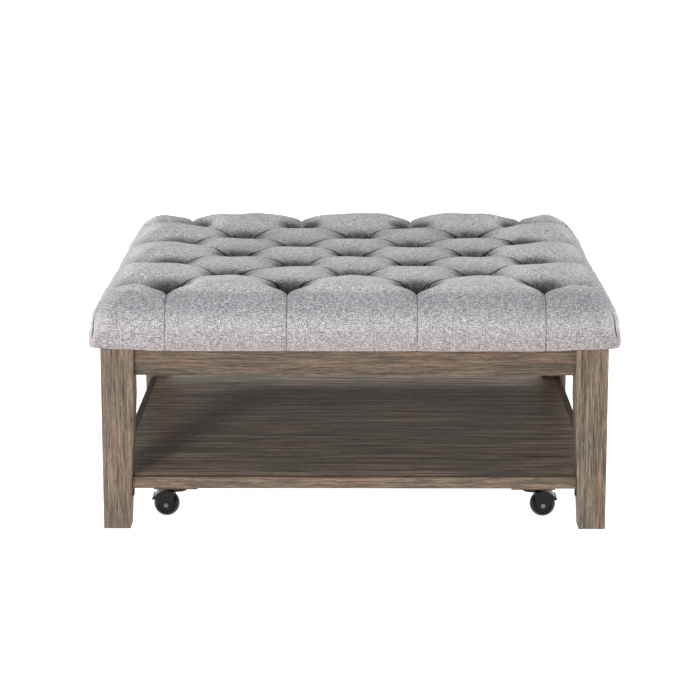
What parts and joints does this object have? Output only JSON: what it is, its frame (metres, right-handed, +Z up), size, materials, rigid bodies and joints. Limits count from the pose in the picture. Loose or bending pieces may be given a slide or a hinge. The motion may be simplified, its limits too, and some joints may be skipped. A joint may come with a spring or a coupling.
{
  "type": "ottoman coffee table",
  "caption": "Square tufted-top ottoman coffee table on a wooden frame with tapered legs, a low shelf and swivelling ball casters.",
  "frame": {"origin": "on the floor under the middle of the table", "axes": "+Z up from the floor, +X to the right of someone facing the front, +Y to the rear"},
  "size_m": [0.96, 0.96, 0.458],
  "materials": {
    "frame_wood": "matte",
    "shelf_wood": "matte",
    "hidden_wood": "matte",
    "plywood": "matte",
    "dark_wood": "matte",
    "cover_fabric": "matte",
    "foam": "matte",
    "dust_cloth": "matte",
    "twine": "matte",
    "zinc_steel": "satin",
    "black_steel": "satin",
    "bright_steel": "satin",
    "ball_plastic": "gloss"
  },
  "bodies": {
    "table": {"leg_front_left": "frame_wood", "leg_front_right": "frame_wood", "leg_rear_left": "frame_wood", "leg_rear_right": "frame_wood", "rail_front": "frame_wood", "rail_rear": "frame_wood", "rail_left": "frame_wood", "rail_right": "frame_wood", "shelf_edge_front": "frame_wood", "shelf_edge_rear": "frame_wood", "shelf_edge_left": "frame_wood", "shelf_edge_right": "frame_wood", "shelf_panel": "shelf_wood", "corner_block_front_left": "hidden_wood", "corner_block_front_right": "hidden_wood", "corner_block_rear_left": "hidden_wood", "corner_block_rear_right": "hidden_wood", "deck_board": "plywood", "caster_block_front_left": "dark_wood", "caster_block_front_right": "dark_wood", "caster_block_rear_left": "dark_wood", "caster_block_rear_right": "dark_wood", "tufted_cover": "cover_fabric", "tuft_buttons": "cover_fabric", "foam_pad": "foam", "dust_cover": "dust_cloth", "tuft_twines": "twine", "hanger_bolts": "zinc_steel", "hanger_washers": "zinc_steel", "hanger_nuts": "zinc_steel", "corner_block_screws": "zinc_steel", "top_fixing_screws": "zinc_steel", "caster_block_screws": "zinc_steel", "twine_anchors": "zinc_steel", "shelf_brackets": "black_steel", "shelf_bracket_screws": "black_steel", "caster_plate_screws": "black_steel", "caster_plate_front_left": "black_steel", "caster_plate_front_right": "black_steel", "caster_plate_rear_left": "black_steel", "caster_plate_rear_right": "black_steel", "caster_kingpin_front_left": "black_steel", "caster_kingpin_front_right": "black_steel", "caster_kingpin_rear_left": "black_steel", "caster_kingpin_rear_right": "black_steel"},
    "swivel_front_left": {"caster_hood_front_left": "black_steel", "caster_axle_front_left": "bright_steel"},
    "ball_front_left": {"caster_ball_front_left": "ball_plastic"},
    "swivel_front_right": {"caster_hood_front_right": "black_steel", "caster_axle_front_right": "bright_steel"},
    "ball_front_right": {"caster_ball_front_right": "ball_plastic"},
    "swivel_rear_left": {"caster_hood_rear_left": "black_steel", "caster_axle_rear_left": "bright_steel"},
    "ball_rear_left": {"caster_ball_rear_left": "ball_plastic"},
    "swivel_rear_right": {"caster_hood_rear_right": "black_steel", "caster_axle_rear_right": "bright_steel"},
    "ball_rear_right": {"caster_ball_rear_right": "ball_plastic"}
  },
  "joints": [
    {"name": "caster_swivel_front_left", "type": "hinge", "parent": "table", "child": "swivel_front_left", "pos_m": [-0.33, -0.355, 0.053], "axis": [0, 0, 1], "continuous": true},
    {"name": "caster_roll_front_left", "type": "hinge", "parent": "swivel_front_left", "child": "ball_front_left", "pos_m": [-0.35, -0.355, 0.024], "axis": [0, 1, 0], "continuous": true},
    {"name": "caster_swivel_front_right", "type": "hinge", "parent": "table", "child": "swivel_front_right", "pos_m": [0.33, -0.355, 0.053], "axis": [0, 0, 1], "continuous": true},
    {"name": "caster_roll_front_right", "type": "hinge", "parent": "swivel_front_right", "child": "ball_front_right", "pos_m": [0.35, -0.355, 0.024], "axis": [0, 1, 0], "continuous": true},
    {"name": "caster_swivel_rear_left", "type": "hinge", "parent": "table", "child": "swivel_rear_left", "pos_m": [-0.33, 0.355, 0.053], "axis": [0, 0, 1], "continuous": true},
    {"name": "caster_roll_rear_left", "type": "hinge", "parent": "swivel_rear_left", "child": "ball_rear_left", "pos_m": [-0.35, 0.355, 0.024], "axis": [0, 1, 0], "continuous": true},
    {"name": "caster_swivel_rear_right", "type": "hinge", "parent": "table", "child": "swivel_rear_right", "pos_m": [0.33, 0.355, 0.053], "axis": [0, 0, 1], "continuous": true},
    {"name": "caster_roll_rear_right", "type": "hinge", "parent": "swivel_rear_right", "child": "ball_rear_right", "pos_m": [0.35, 0.355, 0.024], "axis": [0, 1, 0], "continuous": true}
  ]
}
